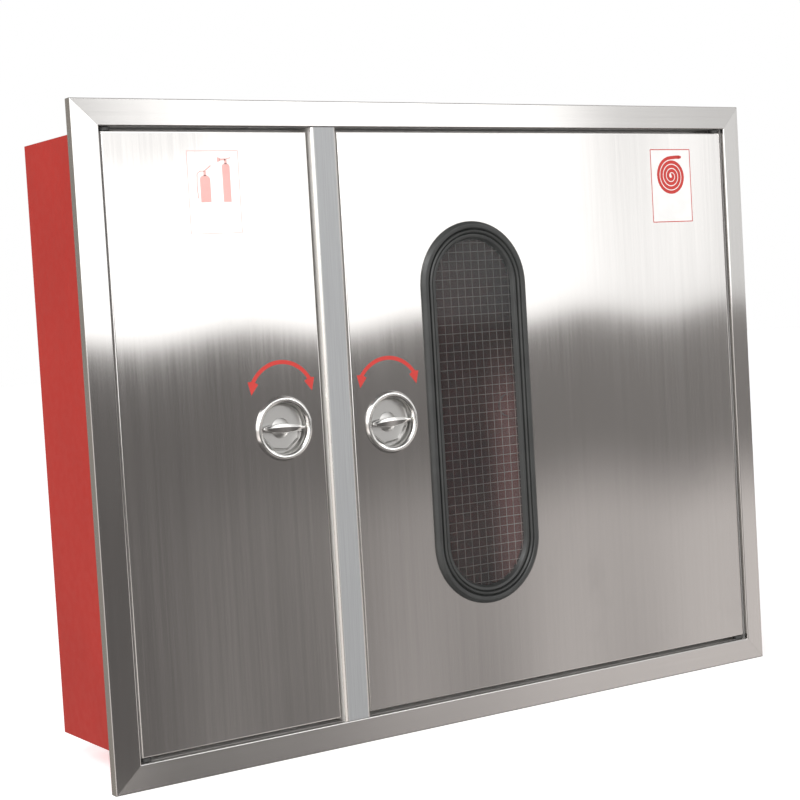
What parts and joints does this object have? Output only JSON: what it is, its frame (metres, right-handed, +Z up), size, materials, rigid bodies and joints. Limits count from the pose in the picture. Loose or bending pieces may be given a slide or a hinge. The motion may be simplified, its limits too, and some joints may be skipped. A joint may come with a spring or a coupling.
{
  "type": "standpipe cabinet",
  "caption": "Recessed stainless-fronted fire cabinet with a windowed hose-reel compartment and a narrow extinguisher compartment, quarter-turn latches and a water feed.",
  "frame": {"origin": "centre of the box's flat rear face", "axes": "+Z up, the doors face -Y, +X to the right of a person facing the doors, +Y into the wall"},
  "size_m": [1.12, 0.2457, 0.87],
  "materials": {
    "stainless": "brushed along the height, lightly scratched",
    "red_paint": "semi-gloss powder coat",
    "chrome": "polished",
    "zinc_steel": "dull zinc plate",
    "brass": "cast, machined ends",
    "black_rubber": "satin extruded rubber",
    "hose_rubber": "matt hose cover",
    "nylon": "black nylon",
    "black_plastic": "moulded",
    "red_plastic": "moulded",
    "wired_glass": "clear, wired"
  },
  "bodies": {
    "cabinet": {"back_panel": "red_paint", "left_side_panel": "red_paint", "right_side_panel": "red_paint", "top_panel": "red_paint", "bottom_panel": "red_paint", "compartment_partition": "red_paint", "trim_top": "stainless", "trim_bottom": "stainless", "trim_left": "stainless", "trim_right": "stainless", "mullion": "stainless", "left_seal_strip": "black_rubber", "right_seal_strip": "black_rubber", "left_bush_top": "nylon", "left_bush_bottom": "nylon", "right_bush_top": "nylon", "right_bush_bottom": "nylon", "reel_bracket": "zinc_steel", "reel_axle": "zinc_steel", "hub_elbow": "red_paint", "feed_pipe": "red_paint", "riser_elbow": "zinc_steel", "riser_pipe": "red_paint", "valve_body": "brass", "inlet_pipe": "red_paint", "inlet_grommet": "black_rubber", "riser_clip": "zinc_steel", "left_extinguisher_hook": "zinc_steel", "right_extinguisher_hook": "zinc_steel"},
    "left_door": {"left_door_panel": "stainless", "left_door_stiffener": "zinc_steel", "left_pivot_top": "zinc_steel", "left_pivot_bottom": "zinc_steel", "left_latch_cup": "chrome", "left_latch_nut": "zinc_steel"},
    "right_door": {"right_door_panel": "stainless", "right_door_stiffener": "zinc_steel", "right_pivot_top": "zinc_steel", "right_pivot_bottom": "zinc_steel", "right_latch_cup": "chrome", "right_latch_nut": "zinc_steel", "window_gasket": "black_rubber", "window_locking_strip": "black_rubber", "window_glass": "wired_glass"},
    "left_latch": {"left_latch_blade": "chrome", "left_latch_cam": "zinc_steel"},
    "right_latch": {"right_latch_blade": "chrome", "right_latch_cam": "zinc_steel"},
    "hose_reel": {"reel_front_disc": "red_paint", "reel_rear_disc": "red_paint", "reel_drum": "red_paint", "reel_sleeve": "red_paint", "hose_coil": "hose_rubber", "hose_tail": "hose_rubber", "nozzle_body": "black_plastic"},
    "nozzle_tip": {"nozzle_head": "red_plastic"},
    "valve_handle": {"valve_lever": "red_plastic", "valve_stem": "zinc_steel"}
  },
  "joints": [
    {"name": "left_door_hinge", "type": "hinge", "parent": "cabinet", "child": "left_door", "pos_m": [-0.514, -0.2325, 0], "axis": [0, 0, -1], "range_deg": [0, 100]},
    {"name": "right_door_hinge", "type": "hinge", "parent": "cabinet", "child": "right_door", "pos_m": [0.514, -0.2325, 0], "axis": [0, 0, 1], "range_deg": [0, 100]},
    {"name": "left_latch_turn", "type": "hinge", "parent": "left_door", "child": "left_latch", "pos_m": [-0.2865, -0.2395, 0.004], "axis": [0, -1, 0], "range_deg": [0, 92]},
    {"name": "right_latch_turn", "type": "hinge", "parent": "right_door", "child": "right_latch", "pos_m": [-0.117, -0.2395, -0.002], "axis": [0, 1, 0], "range_deg": [0, 92]},
    {"name": "reel_spin", "type": "hinge", "parent": "cabinet", "child": "hose_reel", "pos_m": [0.161, -0.0708, -0.0026], "axis": [0, -1, 0], "continuous": true},
    {"name": "nozzle_twist", "type": "hinge", "parent": "hose_reel", "child": "nozzle_tip", "pos_m": [0.08828, -0.07075, -0.28582], "axis": [0.9686, 0, -0.2487], "range_deg": [0, 180]},
    {"name": "valve_turn", "type": "hinge", "parent": "cabinet", "child": "valve_handle", "pos_m": [0.49, -0.155, -0.25], "axis": [0, 1, 0], "range_deg": [0, 90]}
  ]
}
